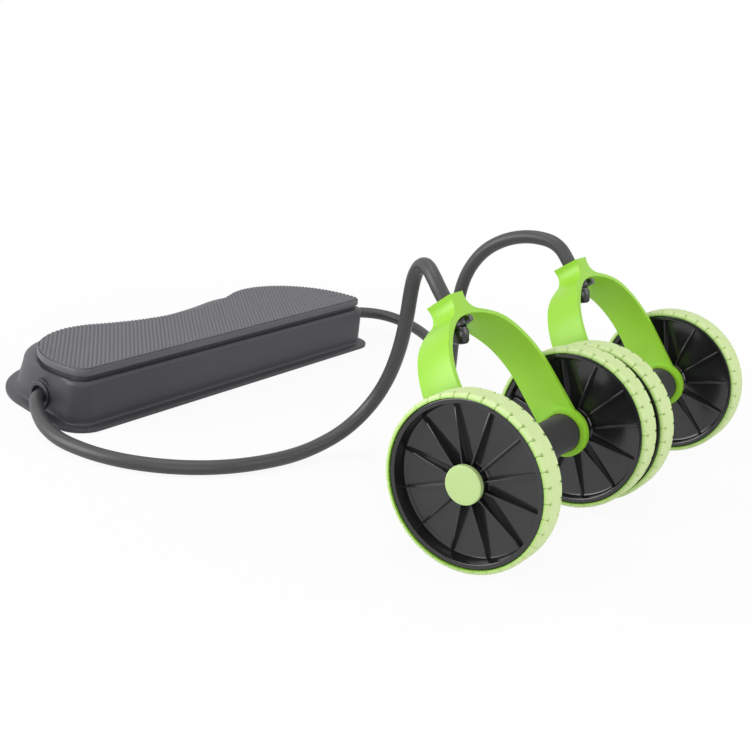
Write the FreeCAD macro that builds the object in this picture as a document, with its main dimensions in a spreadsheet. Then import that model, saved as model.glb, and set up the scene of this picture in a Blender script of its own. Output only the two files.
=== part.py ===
import FreeCAD, Part
import math
import os
import re
import Sketcher

# A foot base with two hand rollers on elastic tubes, in millimetres.
# X runs along the axles, Y from the rollers back to the base, Z is up from the floor.
# The origin is the middle of the base's flat underside.

Vector = FreeCAD.Vector
doc = FreeCAD.newDocument("RollerSet")
os.makedirs("parts", exist_ok=True)

sizes = {
    # rollers
    "wheel_radius": 65.0,
    "tyre_width": 22.0,
    "tyre_depth": 3.6,
    "tyre_shoulder": 3.0,
    "tyre_crown": 1.4,
    "roller_span": 189.0,
    "roller_gap": 3.4,
    "pair_shift": -14.4,
    "roller_reach": 441.0,
    "roller_stagger": 4.5,
    # wheel rims
    "rim_inset": 1.0,
    "rim_wall": 4.4,
    "web_thick": 4.0,
    "hub_radius": 15.5,
    "hub_outer": 7.5,
    "hub_inner": 13.3,
    "bush_wall": 2.95,
    "bush_end": 1.5,
    "pocket_gap": 2.0,
    "fin_thick": 1.8,
    "fin_count": 12,
    "fin_rise_outer": 5.0,
    "fin_rise_inner": 8.5,
    "fin_root": 1.0,
    "cap_radius": 14.4,
    "cap_proud": 0.8,
    "cap_gap": 0.5,
    # axle and grip
    "axle_radius": 5.0,
    "running_gap": 0.05,
    "core_wall": 6.0,
    "grip_wall": 4.0,
    "washer_radius": 9.0,
    "washer_thick": 1.4,
    "spacer_thick": 2.5,
    "nut_radius": 7.5,
    "nut_length": 6.3,
    "side_gap": 0.3,
    "wheel_gap": 0.4,
    # yokes
    "strap_thick": 4.5,
    "arch_centre": 49.0,
    "strap_half": 15.6,
    "strap_foot_half": 16.7,
    "eye_radius": 20.0,
    "lip_depth": 3.0,
    "lip_wall": 3.4,
    "neck_rise": 14.0,
    "neck_half": 10.0,
    "neck_depth_half": 11.8,
    "neck_waist": 0.8,
    "waist_drop": 9.0,
    "shoulder_drop": 33.0,
    "neck_flare": 14.0,
    "lean_left": 41.0,
    "lean_right": 37.0,
    # tubes and their stoppers
    "tube_radius": 6.0,
    "tube_gap": 0.3,
    "tube_lead_in": 4.0,
    "collar_radius": 9.5,
    "collar_length": 6.0,
    "stub_radius": 7.2,
    "stub_length": 12.0,
    "stub_slant": 30.0,
    "clip_radius": 2.6,
    "clip_length": 7.0,
    # foot base, its plan measured from the flange's front edge
    "base_front": 86.0,
    "corner_x": 196.0,
    "flange_corner": 24.0,
    "flange_lobe_x": 111.0,
    "flange_lobe_y": 71.0,
    "flange_lobe": 96.0,
    "flange_waist": 158.0,
    "flange_width": 9.0,
    "flange_thick": 3.7,
    "wall_front": 8.6,
    "wall_corner": 15.4,
    "wall_lobe_y": 61.5,
    "wall_lobe": 87.0,
    "wall_waist": 138.0,
    "wall_rise": 26.3,
    "platform_front": 13.0,
    "platform_corner": 11.0,
    "platform_lobe_x": 128.0,
    "platform_lobe_y": 36.5,
    "platform_lobe": 79.5,
    "platform_waist": 91.0,
    "platform_thick": 6.0,
    "shoulder_rise": 12.2,
    "brow_rise": 8.0,
    "brow_share": 0.3,
    "ledge_width": 3.0,
    "groove_rise": 3.8,
    "groove_inset": 2.5,
    "mat_thick": 1.4,
    "mat_inset": 1.9,
    "shell_wall": 3.0,
    "cover_thick": 2.5,
    "boss_radius": 5.0,
    "boss_x": 150.0,
    "boss_y_front": 30.0,
    "boss_y_back": 105.0,
    "screw_radius": 1.6,
    "screw_head": 3.4,
    "screw_head_thick": 1.4,
    "screw_length": 14.0,
    # tube holes in the base's ends
    "hole_y": 66.0,
    "hole_z": 17.5,
    "pad_reach": 8.0,
    "pad_wall": 4.6,
    "bush_rim_wall": 3.0,
    "bush_rim_thick": 2.0,
    "bush_barrel_wall": 2.7,
    "bush_barrel_length": 14.0,
    "mouth_gap": 2.2,
    "mouth_depth": 7.0,
    "plug_radius": 10.0,
    "plug_length": 12.0,
    # how far a cutting tool runs past the face that it cuts
    "past": 1.0,
}

sheet = doc.addObject("Spreadsheet::Sheet", "Sizes")
for row, (alias, value) in enumerate(sizes.items(), start=1):
    sheet.set("A%d" % row, alias)
    sheet.set("B%d" % row, str(value))
    sheet.setAlias("B%d" % row, alias)
doc.recompute()

# Routes of the two elastic tubes, chosen along what the photograph shows.
left_run = [
    (-190.0, -20.0, 17.5), (-204.5, -20.0, 17.5), (-216.3, -28.3, 16.0), (-228.5, -45.5, 12.0),
    (-240.0, -67.5, 8.6), (-246.5, -91.0, 6.8), (-247.5, -116.0, 6.3), (-244.5, -142.0, 6.2),
    (-235.0, -169.0, 6.2), (-217.5, -195.5, 6.2), (-193.5, -217.0, 6.2), (-162.5, -232.5, 6.3),
    (-142.75, -237.5, 6.45),
]
left_lead = [
    (-123.0, -242.5, 6.6), (-89.0, -250.5, 14.0), (-72.0, -260.0, 27.0), (-61.0, -271.0, 47.0),
    (-60.5, -283.0, 71.5), (-68.0, -295.0, 100.0), (-77.0, -304.0, 129.0), (-86.0, -310.5, 156.0),
    (-89.8, -314.5, 171.0), (-93.7, -320.8, 180.3), (-100.0, -330.5, 184.0), (-107.5, -341.5, 178.3),
]
right_run = [
    (190.0, -20.0, 17.5), (214.0, -20.0, 17.5), (240.0, -25.0, 19.5), (262.0, -41.0, 21.0),
    (273.0, -66.0, 21.0), (271.0, -98.0, 18.5), (258.0, -132.0, 14.0), (232.0, -163.0, 10.0),
    (199.0, -190.0, 7.2), (182.0, -201.5, 7.1),
]
right_lead = [
    (165.0, -213.0, 7.0), (137.0, -230.0, 9.6), (110.0, -246.0, 22.0), (94.0, -255.0, 43.0),
    (85.0, -259.5, 72.0), (81.5, -261.0, 105.0), (80.0, -266.0, 137.0), (79.5, -280.5, 162.0),
    (80.0, -300.0, 177.0), (80.8, -322.0, 185.0), (81.4, -343.5, 186.0), (81.7, -356.0, 181.5),
]

alias_pattern = re.compile(r"\b(%s)\b" % "|".join(sorted(sizes, key=len, reverse=True)))


def formula(text):
    """Point every size named in the text at its cell in the sheet."""
    return alias_pattern.sub(r"Sizes.\1", str(text))


gauge = doc.addObject("App::FeaturePython", "Gauge")
gauge.addProperty("App::PropertyFloat", "Reading")


def amount(text):
    """The number that a formula gives at present."""
    gauge.setExpression("Reading", formula(text))
    gauge.recompute()
    return gauge.Reading


def bind(thing, **formulas):
    for prop, text in formulas.items():
        thing.setExpression(prop, formula(text))


def place(thing, x, y, z, turn=FreeCAD.Rotation()):
    thing.Placement = FreeCAD.Placement(Vector(), turn)
    for axis, text in (("x", x), ("y", y), ("z", z)):
        thing.setExpression("Placement.Base." + axis, formula(text))


def named(thing, label):
    thing.Label = label
    return thing


along_x = FreeCAD.Rotation(Vector(0, 1, 0), 90)
along_y = FreeCAD.Rotation(Vector(1, 0, 0), -90)


def rod(name, radius, length, x="0", y="0", z="0", turn=along_x):
    """A round bar that starts at the point and runs along the turned axis."""
    bar = doc.addObject("Part::Cylinder", name)
    bind(bar, Radius=radius, Height=length)
    place(bar, x, y, z, turn)
    return bar


def cut(name, body, tool):
    result = doc.addObject("Part::Cut", name)
    result.Base = body
    result.Tool = tool
    return result


def fuse(name, pieces):
    result = doc.addObject("Part::MultiFuse", name)
    result.Shapes = pieces
    return result


def group(name, pieces):
    result = doc.addObject("Part::Compound", name)
    result.Links = pieces
    return result


def ring(name, radius, bore, length, x="0", y="0", z="0"):
    """A washer, bush or sleeve along X."""
    outside = rod(name + "_outside", radius, length, x, y, z)
    inside = rod(name + "_inside", bore, f"{length} + 2 * past", f"{x} - past", y, z)
    return cut(name, outside, inside)


def new_body(name):
    return doc.addObject("PartDesign::Body", name)


def origin_item(body, role):
    for item in body.Origin.OriginFeatures:
        if item.Role == role:
            return item


def new_sketch(body, name, plane):
    sketch = body.newObject("Sketcher::SketchObject", name)
    sketch.AttachmentSupport = [(origin_item(body, plane), "")]
    sketch.MapMode = "FlatFace"
    return sketch


def polygon_sketch(body, name, plane, loops):
    """Closed loops of corners; each corner's two coordinates follow the sheet."""
    sketch = new_sketch(body, name, plane)
    for corners in loops:
        points = [Vector(amount(x), amount(y), 0) for x, y in corners]
        first = sketch.GeometryCount
        count = len(points)
        for index in range(count):
            side = Part.LineSegment(points[index], points[(index + 1) % count])
            sketch.addGeometry(side, False)
        for index in range(count):
            following = first + (index + 1) % count
            sketch.addConstraint(Sketcher.Constraint("Coincident", first + index, 2, following, 1))
        for index, (x, y) in enumerate(corners):
            side = first + index
            for kind, text, value in (("DistanceX", x, points[index].x), ("DistanceY", y, points[index].y)):
                number = sketch.addConstraint(Sketcher.Constraint(kind, -1, 1, side, 1, value))
                sketch.setExpression(f"Constraints[{number}]", formula(text))
    return sketch


def curve_sketch(body, name, plane, geometry):
    sketch = new_sketch(body, name, plane)
    for item in geometry:
        sketch.addGeometry(item, False)
    return sketch


def revolve(body, name, sketch):
    turned = body.newObject("PartDesign::Revolution", name)
    turned.Profile = sketch
    turned.ReferenceAxis = (origin_item(body, "X_Axis"), [""])
    turned.Angle = 360.0
    return turned


def pad_both_ways(body, name, sketch, length):
    pad = body.newObject("PartDesign::Pad", name)
    pad.Profile = sketch
    pad.Midplane = True
    bind(pad, Length=length)
    return pad


# Places that several pieces share

half_pitch = "(roller_span + roller_gap) / 2"
rollers = {
    "left": ((f"(pair_shift - {half_pitch})", "(-roller_reach)"), "lean_left"),
    "right": ((f"(pair_shift + {half_pitch})", "(-roller_reach - roller_stagger)"), "lean_right"),
}
axle_z = "wheel_radius"
wheel_mid = "((roller_span - tyre_width) / 2)"
bush_seat = "(axle_radius + running_gap + bush_wall)"
core_radius = "(axle_radius + core_wall)"
grip_radius = f"({core_radius} + grip_wall)"
core_half = f"({wheel_mid} - hub_inner - wheel_gap - spacer_thick)"
yoke_half = f"({core_half} - side_gap)"
arm_inside = f"({yoke_half} - strap_thick)"
neck_top = f"(arch_centre + {yoke_half} + neck_rise)"
upright = FreeCAD.Rotation()


# Wheels

rim_radius = "(wheel_radius - tyre_depth)"
rim_half = "(tyre_width / 2 - rim_inset)"
rim_inside = f"({rim_radius} - rim_wall)"


def wheel_place(thing, spot, side):
    """Side is -1 or 1; the capped face looks away from the roller's middle."""
    roller_x, axle_y = spot
    turn = FreeCAD.Rotation(Vector(0, 0, 1), 0 if side > 0 else 180)
    place(thing, f"{roller_x} + {side} * {wheel_mid}", axle_y, axle_z, turn)


def rod_on_side(name, radius, start, length, spot, side):
    """A bar on the axle's line, its start measured outwards from the roller's middle."""
    roller_x, axle_y = spot
    near = f"{start}" if side > 0 else f"-({start}) - ({length})"
    return rod(name, radius, length, f"{roller_x} + {near}", axle_y, axle_z)


def ring_on_side(name, radius, bore, start, length, spot, side):
    outside = rod_on_side(name + "_outside", radius, start, length, spot, side)
    inside = rod_on_side(name + "_inside", bore, f"{start} - past", f"{length} + 2 * past", spot, side)
    return cut(name, outside, inside)


def make_rim(name, spot, side):
    body = new_body(name)
    pocket = "(washer_radius + pocket_gap)"
    section = polygon_sketch(body, name + "_section", "XY_Plane", [[
        ("-hub_inner", bush_seat),
        ("-bush_end", bush_seat),
        ("-bush_end", pocket),
        ("hub_outer", pocket),
        ("hub_outer", "hub_radius"),
        ("web_thick / 2", "hub_radius"),
        ("web_thick / 2", rim_inside),
        (rim_half, rim_inside),
        (rim_half, rim_radius),
        (f"-{rim_half}", rim_radius),
        (f"-{rim_half}", rim_inside),
        ("-web_thick / 2", rim_inside),
        ("-web_thick / 2", "hub_radius"),
        ("-hub_inner", "hub_radius"),
    ]])
    revolve(body, name + "_turned", section)
    # Each fin starts inside the hub and the web, and runs out to nothing at the rim.
    fins = polygon_sketch(body, name + "_fin_lines", "XY_Plane", [
        [
            ("web_thick / 4", "hub_radius - fin_root"),
            ("web_thick / 2 + fin_rise_outer", "hub_radius - fin_root"),
            ("web_thick / 2", rim_inside),
            ("web_thick / 4", rim_inside),
        ],
        [
            ("-web_thick / 4", "hub_radius - fin_root"),
            ("-web_thick / 2 - fin_rise_inner", "hub_radius - fin_root"),
            ("-web_thick / 2", rim_inside),
            ("-web_thick / 4", rim_inside),
        ],
    ])
    pad = pad_both_ways(body, name + "_fins", fins, "fin_thick")
    pattern = body.newObject("PartDesign::PolarPattern", name + "_pattern")
    pattern.Originals = [pad]
    pattern.Axis = (origin_item(body, "X_Axis"), [""])
    pattern.Angle = 360.0
    bind(pattern, Occurrences="fin_count")
    body.Tip = pattern
    wheel_place(body, spot, side)
    named(body, name)


def make_tyre(name, spot, side):
    body = new_body(name)
    section = polygon_sketch(body, name + "_section", "XY_Plane", [[
        ("-tyre_width / 2", rim_radius),
        ("tyre_width / 2", rim_radius),
        ("tyre_width / 2", "wheel_radius - tyre_crown"),
        ("tyre_width / 2 - tyre_shoulder", "wheel_radius"),
        ("tyre_shoulder - tyre_width / 2", "wheel_radius"),
        ("-tyre_width / 2", "wheel_radius - tyre_crown"),
    ]])
    revolve(body, name + "_turned", section)
    wheel_place(body, spot, side)
    named(body, name)


def make_wheel(name, spot, side):
    make_rim(name + "_rim", spot, side)
    make_tyre(name + "_tyre", spot, side)
    cap = rod_on_side(name + "_hub_cap", "cap_radius", f"{wheel_mid} + hub_outer",
                      "tyre_width / 2 + cap_proud - hub_outer", spot, side)
    named(cap, name + "_hub_cap")
    bush = ring_on_side(name + "_bush", bush_seat, "axle_radius + running_gap", f"{wheel_mid} - hub_inner",
                        "hub_inner - bush_end", spot, side)
    named(bush, name + "_bush")


# Axle, grip and fastenings of one roller

def make_carriage(name, spot):
    roller_x, axle_y = spot
    axle_half = f"({wheel_mid} + hub_outer - cap_gap)"
    sleeve_half = f"({arm_inside} - 2 * side_gap)"
    axle = rod(name + "_axle", "axle_radius", f"2 * {axle_half}", f"{roller_x} - {axle_half}", axle_y, axle_z)
    named(axle, name + "_axle")
    core = ring(name + "_grip_core", core_radius, "axle_radius", f"2 * {core_half}",
                f"{roller_x} - {core_half}", axle_y, axle_z)
    named(core, name + "_grip_core")
    sleeve = ring(name + "_grip_sleeve", grip_radius, core_radius, f"2 * {sleeve_half}",
                  f"{roller_x} - {sleeve_half}", axle_y, axle_z)
    named(sleeve, name + "_grip_sleeve")

    washer_face = f"{wheel_mid} - bush_end + side_gap"
    nut_face = f"{washer_face} + washer_thick"
    washers = []
    nuts = []
    for side, word in ((-1, "low"), (1, "high")):
        washers.append(ring_on_side(f"{name}_spacer_{word}", "washer_radius", "axle_radius",
                                    core_half, "spacer_thick", spot, side))
        washers.append(ring_on_side(f"{name}_washer_{word}", "washer_radius", "axle_radius",
                                    washer_face, "washer_thick", spot, side))
        hexagon = doc.addObject("Part::Prism", f"{name}_hexagon_{word}")
        hexagon.Polygon = 6
        bind(hexagon, Circumradius="nut_radius", Height="nut_length")
        near = nut_face if side > 0 else f"-({nut_face}) - nut_length"
        place(hexagon, f"{roller_x} + {near}", axle_y, axle_z, along_x)
        thread = rod_on_side(f"{name}_thread_{word}", "axle_radius", f"{nut_face} - past",
                             "nut_length + 2 * past", spot, side)
        nuts.append(cut(f"{name}_nut_{word}", hexagon, thread))
    named(group(name + "_washers", washers), name + "_washers")
    named(group(name + "_lock_nuts", nuts), name + "_lock_nuts")


# Yoke with its tube stopper, drawn upright on the axle and then leaned towards the base

def arc_about(centre, radius, start, end):
    """An arc in a sketch's plane, its angles in degrees."""
    def at(angle):
        turned = math.radians(angle)
        return Vector(centre.x + radius * math.cos(turned), centre.y + radius * math.sin(turned), 0)
    return Part.Arc(at(start), at((start + end) / 2), at(end))


def mirrored(item):
    """The same line or arc on the other side of the sketch's upright axis, run backwards."""
    start = Vector(-item.EndPoint.x, item.EndPoint.y, 0)
    end = Vector(-item.StartPoint.x, item.StartPoint.y, 0)
    if isinstance(item, Part.LineSegment):
        return Part.LineSegment(start, end)
    middle = item.value((item.FirstParameter + item.LastParameter) / 2)
    return Part.Arc(start, Vector(-middle.x, middle.y, 0), end)


def with_mirror(half):
    return half + [mirrored(item) for item in reversed(half)]


def arch_geometry():
    """Front view: a neck that flares into a round arch, which runs down into two straight arms."""
    outer = amount(yoke_half)
    inner = amount(arm_inside)
    crown = amount("arch_centre")
    neck = amount("neck_half")
    waist = amount("neck_half - neck_waist")
    top = amount(neck_top)
    flare = amount("neck_flare")
    foot = amount("-eye_radius")
    middle = Vector(0, crown, 0)
    # The flare touches the neck's waist and the outside of the arch.
    flare_x = waist + flare
    flare_y = crown + math.sqrt((outer + flare) ** 2 - flare_x ** 2)
    meet = math.degrees(math.atan2(flare_y - crown, flare_x))
    return with_mirror([
        Part.LineSegment(Vector(0, top, 0), Vector(neck, top, 0)),
        Part.LineSegment(Vector(neck, top, 0), Vector(waist, flare_y, 0)),
        arc_about(Vector(flare_x, flare_y, 0), flare, 180, 180 + meet),
        arc_about(middle, outer, meet, 0),
        Part.LineSegment(Vector(outer, crown, 0), Vector(outer, foot, 0)),
        Part.LineSegment(Vector(outer, foot, 0), Vector(inner, foot, 0)),
        Part.LineSegment(Vector(inner, foot, 0), Vector(inner, crown, 0)),
        arc_about(middle, inner, 0, 90),
    ])


def side_geometry():
    """Side view: a neck that swells in two arcs to the strap, which ends in a round eye."""
    eye = amount("eye_radius")
    strap = amount("strap_half")
    foot = amount("strap_foot_half")
    neck = amount("neck_depth_half")
    waist = amount("neck_depth_half - neck_waist")
    top = amount(neck_top)
    waist_z = amount(f"{neck_top} - waist_drop")
    shoulder_z = amount(f"{neck_top} - shoulder_drop")
    rise = math.sqrt(eye ** 2 - foot ** 2)
    swell = strap - waist
    drop = waist_z - shoulder_z
    radius = (swell ** 2 + drop ** 2) / (4 * swell)
    half_turn = math.degrees(math.asin(drop / (2 * radius)))
    return with_mirror([
        Part.LineSegment(Vector(0, top, 0), Vector(neck, top, 0)),
        Part.LineSegment(Vector(neck, top, 0), Vector(waist, waist_z, 0)),
        arc_about(Vector(waist + radius, waist_z, 0), radius, 180, 180 + half_turn),
        arc_about(Vector(strap - radius, shoulder_z, 0), radius, half_turn, 0),
        Part.LineSegment(Vector(strap, shoulder_z, 0), Vector(foot, rise, 0)),
        arc_about(Vector(), eye, math.degrees(math.atan2(rise, foot)), -90),
    ])


def yoke_place(thing, spot, lean):
    turn = FreeCAD.Rotation(Vector(1, 0, 0), -amount(lean))
    place(thing, *spot, axle_z, turn)


def upright_yoke(name):
    front = new_body(name + "_front")
    front_lines = curve_sketch(front, name + "_front_lines", "XZ_Plane", arch_geometry())
    pad_both_ways(front, name + "_front_pad", front_lines, "2 * eye_radius")
    side = new_body(name + "_side")
    side_lines = curve_sketch(side, name + "_side_lines", "YZ_Plane", side_geometry())
    pad_both_ways(side, name + "_side_pad", side_lines, f"2 * {yoke_half} + 2 * past")
    strap = doc.addObject("Part::MultiCommon", name + "_strap")
    strap.Shapes = [front, side]
    # A lip on each arm stands round the end of the grip.
    grip_room = f"({grip_radius} + 2 * side_gap)"
    lips = [
        rod(name + "_lip_low", f"{grip_room} + lip_wall", "lip_depth", f"-{arm_inside}"),
        rod(name + "_lip_high", f"{grip_room} + lip_wall", "lip_depth", f"{arm_inside} - lip_depth"),
    ]
    whole = fuse(name + "_whole", [strap] + lips)
    holes = [
        rod(name + "_journal", f"{core_radius} + running_gap", f"2 * {yoke_half} + 2 * past",
            f"-{yoke_half} - past"),
        rod(name + "_grip_room", grip_room, f"2 * {arm_inside}", f"-{arm_inside}"),
        rod(name + "_tube_bore", "tube_radius + tube_gap", f"{yoke_half} + neck_rise",
            "0", "0", "arch_centre + past", upright),
    ]
    return cut(name, whole, fuse(name + "_holes", holes))


collar_top = f"(arch_centre + sqrt({arm_inside}^2 - collar_radius^2) - running_gap)"


def make_yoke(name, spot, lean):
    yoke = upright_yoke(name + "_yoke")
    yoke_place(yoke, spot, lean)
    named(yoke, name + "_yoke")

    stub_end = f"({collar_top} - collar_length - stub_length)"
    collar = rod(name + "_collar", "collar_radius", "collar_length", "0", "0",
                 f"{collar_top} - collar_length", upright)
    stub = rod(name + "_stub", "stub_radius", "stub_length", "0", "0", stub_end, upright)
    slant = doc.addObject("Part::Box", name + "_slant")
    bind(slant, Length="4 * stub_radius", Width="4 * stub_radius", Height="2 * stub_radius")
    place(slant, "-2 * stub_radius", "-2 * stub_radius * cos(stub_slant)", f"{stub_end} - 2 * stub_radius",
          FreeCAD.Rotation(Vector(1, 0, 0), amount("stub_slant")))
    clip_y = "-collar_radius - clip_length / 2"
    clip_z = f"{collar_top} - collar_length / 2"
    socket = rod(name + "_clip_socket", "clip_radius", "clip_length", "0", clip_y, clip_z, along_y)
    knob = fuse(name + "_knob", [collar, cut(name + "_slanted_stub", stub, slant)])
    stopper = cut(name + "_tube_stopper", knob, socket)
    yoke_place(stopper, spot, lean)
    named(stopper, name + "_tube_stopper")

    clip = group(name + "_stopper_clip", [
        rod(name + "_clip_pin", "clip_radius", "clip_length", "0", clip_y, clip_z, along_y)])
    yoke_place(clip, spot, lean)
    named(clip, name + "_stopper_clip")


# Foot base

flange_plan = {
    "front": "0", "corner": "flange_corner", "lobe_x": "flange_lobe_x",
    "lobe_y": "flange_lobe_y", "lobe": "flange_lobe", "waist": "flange_waist",
}
wall_plan = {
    "front": "wall_front", "corner": "wall_corner", "lobe_x": "flange_lobe_x",
    "lobe_y": "wall_lobe_y", "lobe": "wall_lobe", "waist": "wall_waist",
}
platform_plan = {
    "front": "platform_front", "corner": "platform_corner", "lobe_x": "platform_lobe_x",
    "lobe_y": "platform_lobe_y", "lobe": "platform_lobe", "waist": "platform_waist",
}


def inset(plan, depth):
    """The plan drawn in all round by this depth."""
    return {
        "front": f"{plan['front']} + {depth}",
        "corner": f"{plan['corner']} - ({depth})",
        "lobe_x": plan["lobe_x"],
        "lobe_y": plan["lobe_y"],
        "lobe": f"{plan['lobe']} - ({depth})",
        "waist": f"{plan['waist']} - ({depth})",
    }


def between(low, high, share):
    """A plan part of the way from one plan to another."""
    return {word: f"({low[word]}) + {share} * (({high[word]}) - ({low[word]}))" for word in low}


def plan_geometry(plan):
    """Tangent lines and arcs: front, corner, end, lobe and waist, and the same again mirrored."""
    size = {word: amount(text) for word, text in plan.items()}
    shift = amount("base_front")
    corner = Vector(amount("corner_x"), size["front"] + size["corner"] - shift, 0)
    lobe = Vector(size["lobe_x"], size["lobe_y"] - shift, 0)
    apart = lobe.sub(corner)
    spread = math.acos((size["corner"] - size["lobe"]) / apart.Length)
    end = math.degrees(math.atan2(apart.y, apart.x) - spread)
    end = (end + 180) % 360 - 180
    dip = size["waist"] - size["lobe_y"]
    waist_radius = (lobe.x ** 2 + dip ** 2 - size["lobe"] ** 2) / (2 * (size["lobe"] - dip))
    waist = Vector(0, size["waist"] - shift + waist_radius, 0)
    meet = math.degrees(math.atan2(waist.y - lobe.y, -lobe.x))
    corner_arc = arc_about(corner, size["corner"], -90, end)
    lobe_arc = arc_about(lobe, size["lobe"], end, meet)
    waist_start = math.degrees(math.atan2(lobe.y - waist.y, lobe.x))
    return with_mirror([
        Part.LineSegment(Vector(0, corner_arc.StartPoint.y, 0), corner_arc.StartPoint),
        corner_arc,
        Part.LineSegment(corner_arc.EndPoint, lobe_arc.StartPoint),
        lobe_arc,
        arc_about(waist, waist_radius, waist_start, -90),
    ])


def plan_sketch(name, plan, z):
    sketch = doc.addObject("Sketcher::SketchObject", name)
    for item in plan_geometry(plan):
        sketch.addGeometry(item, False)
    place(sketch, "0", "0", z)
    return sketch


def slab(name, plan, z, thick):
    block = doc.addObject("Part::Extrusion", name)
    block.Base = plan_sketch(name + "_plan", plan, z)
    block.DirMode = "Normal"
    block.Solid = True
    bind(block, LengthFwd=thick)
    return block


def loft(name, levels):
    block = doc.addObject("Part::Loft", name)
    block.Sections = [plan_sketch(f"{name}_{number}", plan, z) for number, (plan, z) in enumerate(levels)]
    block.Solid = True
    block.Ruled = True
    return block


foot_plan = inset(flange_plan, "flange_width")
shoulder_plan = inset(platform_plan, "-ledge_width")
groove_plan = inset(platform_plan, "groove_inset")
brow_plan = between(wall_plan, shoulder_plan, "brow_share")
wall_top = "(flange_thick + wall_rise)"
brow_top = f"({wall_top} + brow_rise)"
shoulder_top = f"({wall_top} + shoulder_rise)"
platform_z = f"({shoulder_top} + groove_rise)"
hole_y = "hole_y - base_front"
pad_face = "(corner_x + pad_reach)"
tube_room = "(tube_radius + tube_gap)"
bush_barrel = f"({tube_room} + bush_barrel_wall)"
end_sides = ((-1, "left"), (1, "right"))
screw_spots = [(side, y) for side in (-1, 1) for y in ("boss_y_front", "boss_y_back")]


def rod_in_end(name, radius, start, length, side):
    """A bar along a tube hole's line, its start measured outwards from the base's middle."""
    near = f"{start}" if side > 0 else f"-({start}) - ({length})"
    return rod(name, radius, length, near, hole_y, "hole_z")


def rods_at_screws(name, radius, z, length):
    return [rod(f"{name}_{number}", radius, length, f"{side} * boss_x", f"{y} - base_front", z, upright)
            for number, (side, y) in enumerate(screw_spots)]


def make_tube_end(side, word):
    """Rimmed bush in the base's end, and the plug that stops the tube inside."""
    rim = rod_in_end("bush_rim_" + word, f"{bush_barrel} + bush_rim_wall", pad_face, "bush_rim_thick", side)
    barrel_start = f"{pad_face} - bush_barrel_length"
    barrel = rod_in_end("bush_barrel_" + word, bush_barrel, barrel_start, "bush_barrel_length", side)
    bore = rod_in_end("bush_bore_" + word, tube_room, f"{barrel_start} - past",
                      "bush_barrel_length + bush_rim_thick + 2 * past", side)
    mouth = rod_in_end("bush_mouth_" + word, "tube_radius + mouth_gap",
                       f"{pad_face} + bush_rim_thick - mouth_depth", "mouth_depth + past", side)
    bush = cut("tube_bush_" + word, fuse("bush_whole_" + word, [rim, barrel]),
               fuse("bush_hole_" + word, [bore, mouth]))
    named(bush, "tube_bush_" + word)
    plug_start = f"{barrel_start} - plug_length"
    plug = rod_in_end("tube_plug_" + word, "plug_radius", plug_start, "plug_length", side)
    named(plug, "tube_plug_" + word)


def make_shell():
    outside = fuse("outside", [
        slab("flange", flange_plan, "0", "flange_thick"),
        loft("walls", [
            (foot_plan, "flange_thick"),
            (wall_plan, wall_top),
            (brow_plan, brow_top),
            (shoulder_plan, shoulder_top),
        ]),
        slab("groove", groove_plan, shoulder_top, "groove_rise"),
    ])
    foot_inside = inset(foot_plan, "shell_wall")
    wall_inside = inset(wall_plan, "shell_wall")
    brow_inside = inset(brow_plan, "shell_wall")
    shoulder_inside = inset(shoulder_plan, "shell_wall")
    hollow = fuse("hollow", [
        slab("cover_recess", foot_inside, "-past", "flange_thick + past"),
        loft("inside", [
            (foot_inside, "flange_thick"),
            (wall_inside, f"{wall_top} - shell_wall"),
            (brow_inside, f"{brow_top} - shell_wall"),
            (shoulder_inside, f"{shoulder_top} - shell_wall"),
        ]),
    ])
    post_rods = rods_at_screws("post", "boss_radius", "cover_thick", shoulder_top)
    posts = doc.addObject("Part::MultiCommon", "posts")
    posts.Shapes = [outside, fuse("post_rods", post_rods)]
    pads = [rod_in_end("pad_" + word, f"{bush_barrel} + pad_wall", f"{pad_face} - bush_barrel_length",
                       "bush_barrel_length", side) for side, word in end_sides]
    bores = [rod_in_end("pad_bore_" + word, bush_barrel, f"{pad_face} - bush_barrel_length - past",
                        "bush_barrel_length + 2 * past", side) for side, word in end_sides]
    threads = rods_at_screws("thread", "screw_radius", "0", "screw_length + past")
    solid = fuse("shell_solid", [cut("shell_skin", outside, hollow), posts] + pads)
    shell = cut("base_shell", solid, fuse("shell_holes", bores + threads))
    named(shell, "base_shell")


def make_cover():
    blank = slab("cover_blank", inset(foot_plan, "shell_wall + side_gap"), "0", "cover_thick")
    holes = rods_at_screws("cover_hole", "screw_radius", "-past", "cover_thick + 2 * past")
    seats = rods_at_screws("head_seat", "screw_head", "-past", "screw_head_thick + past")
    named(cut("base_cover", blank, fuse("cover_holes", holes + seats)), "base_cover")
    heads = rods_at_screws("screw_head_disc", "screw_head", "0", "screw_head_thick")
    shanks = rods_at_screws("screw_shank", "screw_radius", "0", "screw_length")
    screws = [fuse(f"screw_{number}", list(pair)) for number, pair in enumerate(zip(heads, shanks))]
    named(group("cover_screws", screws), "cover_screws")


def make_base():
    make_shell()
    make_cover()
    for side, word in end_sides:
        make_tube_end(side, word)
    named(slab("foot_platform", platform_plan, platform_z, "platform_thick"), "foot_platform")
    mat = slab("foot_mat", inset(platform_plan, "mat_inset"), f"{platform_z} + platform_thick", "mat_thick")
    named(mat, "foot_mat")


# Elastic tubes: straight runs joined by arcs as large as the runs allow

bend_share = 0.45


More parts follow.
